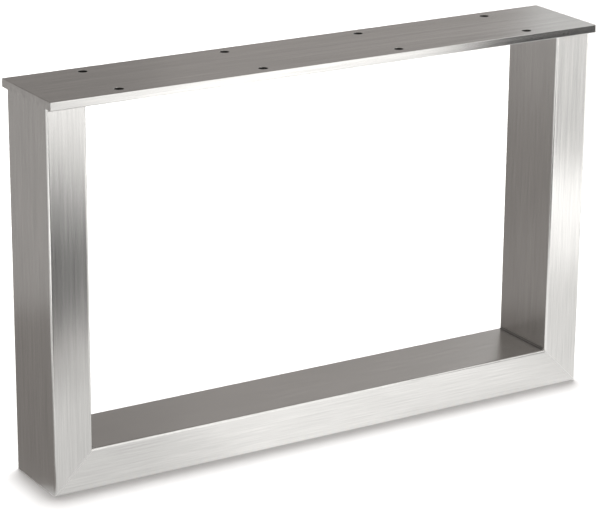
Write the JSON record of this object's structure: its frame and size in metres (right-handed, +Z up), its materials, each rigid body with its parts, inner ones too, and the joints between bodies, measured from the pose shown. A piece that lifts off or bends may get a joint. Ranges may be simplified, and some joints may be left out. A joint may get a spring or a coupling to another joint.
{
  "type": "table frame",
  "caption": "Welded U-shaped table leg of brushed rectangular steel tube, lying flat on the floor, with a drilled flat bar on top that carries the table top.",
  "frame": {"origin": "middle of the footprint, on the floor", "axes": "+Z up, +X along the bottom rail from the left leg to the right leg, +Y from the front to the back"},
  "size_m": [0.6, 0.1, 0.38],
  "materials": {
    "plate_steel": "brushed lengthways",
    "left_leg_steel": "brushed upright",
    "right_leg_steel": "brushed upright",
    "rail_steel": "brushed lengthways",
    "left_mitre_steel": "ground flush",
    "right_mitre_steel": "ground flush",
    "left_bead_steel": "as welded and pickled",
    "right_bead_steel": "as welded and pickled"
  },
  "bodies": {
    "root": {"top_plate": "plate_steel", "left_leg": "left_leg_steel", "right_leg": "right_leg_steel", "bottom_rail": "rail_steel", "left_mitre_weld": "left_mitre_steel", "right_mitre_weld": "right_mitre_steel", "left_plate_weld": "left_bead_steel", "right_plate_weld": "right_bead_steel"}
  },
  "joints": []
}
